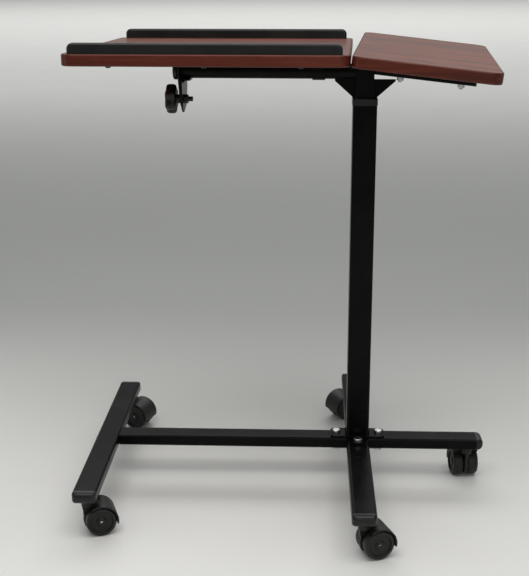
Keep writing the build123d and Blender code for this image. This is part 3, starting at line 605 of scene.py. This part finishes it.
def weld_bead(name, body, place, turn, **sizes):
    mesh = run_tree(bead_tree, **sizes)
    mesh.transform(Matrix.Translation(place) @ turn)
    return add_piece(name, mesh, body, "powder_coated_steel")


post_low, post_high = (Vector(corner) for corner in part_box("lower_post"))
foot_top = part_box("foot_plate")[1][2]
post_middle = (Vector(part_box("post_collar")[0]) + Vector(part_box("post_collar")[1])) / 2
post_side = post_high.x - post_low.x
welds = [weld_bead("post_weld", "base", (post_middle.x, post_middle.y, foot_top), Matrix.Identity(4),
                   Width=post_side, Depth=post_side, Corner=0.004, Bead=0.0019)]
print("laid", len(welds), "weld beads of", len(welds[0].data.polygons), "faces")

# %% [markdown]
# ## Wood screws
# The tops are held by short pan-head screws with a cross recess. One screw is made from rings,
# and a node tree sets a copy of it at every place. The places are the middles of the separate
# solids of the CAD screws, whose doubled points are merged first. The screws under a top
# point along that top's own upward direction.

# %% Set the wood screws


def solids_in(node, axis):
    """The middle of each separate solid, at its lowest point along an axis, and its length."""
    made = bmesh.new()
    made.from_mesh(nodes[node].data)
    made.transform(nodes[node].matrix_world)
    bmesh.ops.remove_doubles(made, verts=made.verts, dist=1e-6)
    waiting, found = set(made.verts), []
    while waiting:
        front, group = [waiting.pop()], []
        while front:
            vert = front.pop()
            group.append(vert.co.copy())
            for edge in vert.link_edges:
                other = edge.other_vert(vert)
                if other in waiting:
                    waiting.remove(other)
                    front.append(other)
        heights = [point.dot(axis) for point in group]
        bottom = [point for point in group if point.dot(axis) < min(heights) + 1e-5]
        turned = axis_frame(axis)
        middle = [(min(p.dot(way) for p in group) + max(p.dot(way) for p in group)) / 2
                  for way in turned[1:]]
        foot = turned[0] * min(heights) + turned[1] * middle[0] + turned[2] * middle[1]
        found.append((foot, max(heights) - min(heights)))
    made.free()
    return found


def pan_screw(axis, length, head=0.004, height=0.0025, shank=0.002):
    def cross(scale):
        return lambda angle: head * scale * (0.34 + 0.66 * abs(cos(2 * angle)) ** 5)

    rows = [(0.0014, cross(0.30)), (0.0002, cross(0.56)), (0.0, head * 0.70), (0.0003, head * 0.86),
            (0.0010, head * 0.97), (0.0018, head), (height, head), (height, shank),
            (length - 0.003, shank), (length - 0.0002, shank * 0.1)]
    turned = axis_frame(axis)
    return skin("pan_screw", [ring(Vector(), turned, along, radius, 48) for along, radius in rows])


screw_tree, size, end_tree = start_tree("screws_on_points", "blackened_steel", Scale=1.0)
flow = Flow(screw_tree)
copied = flow.node("GeometryNodeObjectInfo", {"transform_space": "ORIGINAL"}, output="Geometry")
screw_source = screw_tree.nodes[-1]
end_tree(flow.node("GeometryNodeInstanceOnPoints", None,
                   {"Points": size["Geometry"], "Instance": copied, "Scale": size["Scale"]}))


def set_screws(node, mount):
    axis = Vector(next(row["axis"] for row in record["mounts"] if row["name"] == mount)).normalized()
    joined = bmesh.new()
    places = solids_in(node, axis)
    for length in sorted({round(row[1], 4) for row in places}):
        source = bpy.data.objects.new("screw", pan_screw(axis, length))
        bpy.context.scene.collection.objects.link(source)
        screw_source.inputs["Object"].default_value = source
        batch = run_tree(screw_tree, [row[0] for row in places if round(row[1], 4) == length])
        joined.from_mesh(batch)
        bpy.data.objects.remove(source)
    mesh = bpy.data.meshes.new(node)
    joined.to_mesh(mesh)
    joined.free()
    print(node, len(places), "screws")
    return add_piece(node + "_set", mesh, body_of_node[node], slot_of_node[node], node)


screws = [set_screws("main_top_screws", "main_top_face"), set_screws("side_top_screws", "side_top_face")]

# %% [markdown]
# ## Threads
# A thread follows a rule: a point walks round a cylinder while it moves along it. A spiral curve
# with a three-sided section is that walk made solid, and it is wound on the tilt screw's free end.

# %% Wind the threads
thread_tree, size, end_tree = start_tree("thread", "blackened_steel", Radius=0.004, Length=0.007,
                                         Pitch=0.00125, Ridge=0.00022)
flow = Flow(thread_tree)
spiral = flow.node("GeometryNodeCurveSpiral", None,
                   {"Resolution": 48, "Rotations": size["Length"] / size["Pitch"],
                    "Start Radius": size["Radius"], "End Radius": size["Radius"],
                    "Height": size["Length"]})
section = flow.node("GeometryNodeCurvePrimitiveCircle", None,
                    {"Resolution": 3, "Radius": size["Ridge"]}, "Curve")
end_tree(flow.node("GeometryNodeCurveToMesh", None,
                   {"Curve": spiral, "Profile Curve": section, "Fill Caps": True}))


def wind_thread(name, body, finish, foot, axis, radius, length, pitch):
    mesh = run_tree(thread_tree, Radius=radius, Length=length, Pitch=pitch)
    turned = axis_frame(axis)
    mesh.transform(Matrix.Translation(foot) @ Matrix((turned[1], turned[2], turned[0])).transposed().to_4x4())
    return add_piece(name, mesh, body, finish)


tilt_rows = about_axis("tilt_screw", "tilt_knob_turn")
nut_rows = about_axis("tilt_nut", "tilt_knob_turn")
tail, nut_end = min(row[0] for row in tilt_rows), min(row[0] for row in nut_rows)
tilt_axis = Vector(joints["tilt_knob_turn"]["axis"])
threads = [wind_thread("tilt_thread", "tilt_clamp", "blackened_steel",
                       Vector(joints["tilt_knob_turn"]["pos_m"]) + tilt_axis * (tail + 0.0006),
                       tilt_axis, max(row[1] for row in tilt_rows), nut_end - tail - 0.0012, 0.00125)]
print("wound", len(threads), "threads")

# %% [markdown]
# ## The floor, with painted shade
# One wide, pale, matt sheet.

# %% Lay the floor


def lay_floor(reach=40.0):
    mesh = bpy.data.meshes.new("floor")
    corners = [(-reach, -reach, 0.0), (reach, -reach, 0.0), (reach, reach, 0.0), (-reach, reach, 0.0)]
    mesh.from_pydata(corners, [], [(0, 1, 2, 3)])
    floor = bpy.data.objects.new("floor", mesh)
    flow, shader, place = start_material("studio_floor", Specular_IOR_Level=0.3)
    cloud = noise(flow, place, 2.5, 3.0)
    depth = flow.node("ShaderNodeSeparateXYZ", None, {"Vector": place}, "Y")
    # Painted shade: the floor colour is darkened towards grey in a band across the floor. The band rises from y =
    # -0.1 m, is at full strength between 1.1 m and 1.6 m, and fades out by 6.5 m.
    painted_shade_band = depth.step(-0.1, 1.1) * (1.0 - depth.step(1.6, 6.5))
    tone = blend_colours(flow, cloud.step(0.2, 0.8), (*(v * 0.97 for v in floor_tone), 1.0),
                         (*floor_tone, 1.0))
    tone = blend_colours(flow, painted_shade_band * 0.70, tone, (0.25, 0.26, 0.25, 1.0))
    feed(flow, shader, Base_Color=tone, Roughness=0.55 + cloud * 0.1)
    mesh.materials.append(materials["studio_floor"])
    bpy.context.scene.collection.objects.link(floor)
    return floor


print("floor reaches", lay_floor().dimensions.x / 2, "m")
